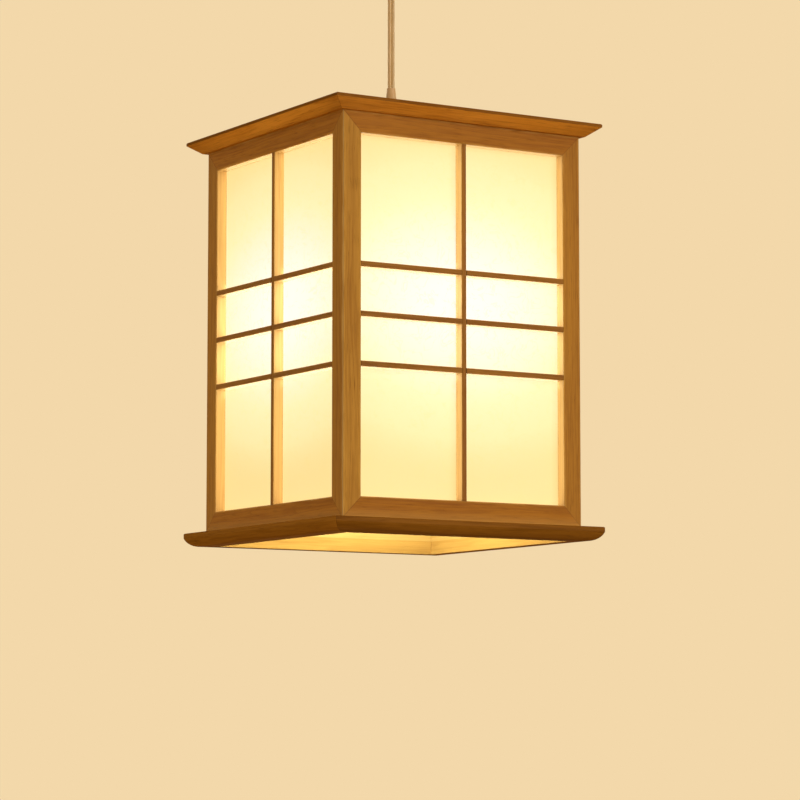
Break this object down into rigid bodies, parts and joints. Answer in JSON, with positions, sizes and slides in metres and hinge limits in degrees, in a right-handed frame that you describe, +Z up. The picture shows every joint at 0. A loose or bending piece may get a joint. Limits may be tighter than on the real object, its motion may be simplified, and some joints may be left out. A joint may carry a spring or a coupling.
{
  "type": "pendant light",
  "caption": "Square wooden lantern with lattice sides and white diffuser sheets, chamfered cap and rounded open base, hung on a flat cord from a round ceiling canopy.",
  "frame": {"origin": "on the ceiling plane, at the middle of the bracket's upper face, above the lantern's axis", "axes": "+Z up out of the ceiling face, the lantern hangs along -Z; -Y is the lantern's front, +X its right"},
  "size_m": [0.224, 0.224, 0.455],
  "materials": {
    "lantern_wood": "satin",
    "lattice_wood": "satin",
    "joinery_wood": "matte",
    "panel_plywood": "matte",
    "diffuser_sheet": "matte",
    "cord_sheath": "gloss",
    "clear_nylon": "satin",
    "zinc_steel": "satin",
    "satin_nickel": "satin",
    "canopy_paint": "satin",
    "terminal_plastic": "matte",
    "holder_plastic": "satin",
    "insert_ceramic": "satin",
    "contact_brass": "satin",
    "bulb_globe": "satin",
    "bulb_housing": "satin",
    "bulb_cap_metal": "satin"
  },
  "bodies": {
    "ceiling": {"ceiling_bracket": "zinc_steel", "bracket_studs": "zinc_steel", "ceiling_canopy": "canopy_paint", "canopy_cap_nuts": "satin_nickel", "canopy_cord_grip": "clear_nylon", "cord_grip_nut": "zinc_steel", "terminal_block": "terminal_plastic", "canopy_cord_tail": "cord_sheath"},
    "cord": {"pendant_cord": "cord_sheath"},
    "lamp": {"front_left_stile": "lantern_wood", "front_right_stile": "lantern_wood", "front_top_rail": "lantern_wood", "front_bottom_rail": "lantern_wood", "right_left_stile": "lantern_wood", "right_right_stile": "lantern_wood", "right_top_rail": "lantern_wood", "right_bottom_rail": "lantern_wood", "back_left_stile": "lantern_wood", "back_right_stile": "lantern_wood", "back_top_rail": "lantern_wood", "back_bottom_rail": "lantern_wood", "left_left_stile": "lantern_wood", "left_right_stile": "lantern_wood", "left_top_rail": "lantern_wood", "left_bottom_rail": "lantern_wood", "front_lattice_bars": "lattice_wood", "right_lattice_bars": "lattice_wood", "back_lattice_bars": "lattice_wood", "left_lattice_bars": "lattice_wood", "lattice_uprights": "lattice_wood", "front_diffuser": "diffuser_sheet", "right_diffuser": "diffuser_sheet", "back_diffuser": "diffuser_sheet", "left_diffuser": "diffuser_sheet", "cap_strip_front": "lantern_wood", "cap_strip_right": "lantern_wood", "cap_strip_back": "lantern_wood", "cap_strip_left": "lantern_wood", "base_strip_front": "lantern_wood", "base_strip_right": "lantern_wood", "base_strip_back": "lantern_wood", "base_strip_left": "lantern_wood", "cap_panel": "panel_plywood", "corner_keys": "joinery_wood", "frame_dowels": "joinery_wood", "strain_relief": "clear_nylon", "threaded_tube": "zinc_steel", "tube_nuts": "zinc_steel", "tube_washers": "zinc_steel", "lamp_holder_cap": "holder_plastic", "lamp_holder_skirt": "holder_plastic", "lamp_holder_insert": "insert_ceramic", "lamp_holder_shell": "contact_brass", "lamp_holder_contact": "contact_brass", "holder_cord_tail": "cord_sheath"},
    "bulb_foot": {"bulb_foot_contact": "contact_brass"},
    "bulb": {"bulb_globe": "bulb_globe", "bulb_housing": "bulb_housing", "bulb_screw_cap": "bulb_cap_metal"}
  },
  "joints": [
    {"name": "cord_swing", "type": "hinge", "parent": "ceiling", "child": "cord", "pos_m": [0, 0, -0.036], "axis": [1, 0, 0], "range_deg": [-30, 30]},
    {"name": "lantern_twist", "type": "hinge", "parent": "cord", "child": "lamp", "pos_m": [0, 0, -0.128], "axis": [0, 0, 1], "range_deg": [-90, 90]},
    {"name": "bulb_travel", "type": "slide", "parent": "lamp", "child": "bulb_foot", "axis": [0, 0, -1], "range_m": [0, 0.0182]},
    {"name": "bulb_turn", "type": "hinge", "parent": "bulb_foot", "child": "bulb", "pos_m": [0, 0, -0.3], "axis": [0, 0, -1], "range_deg": [0, 1800]}
  ],
  "couplings": [
    {"joint": "bulb_travel", "follows": "bulb_turn", "m_per_rad": 0.00057751}
  ]
}
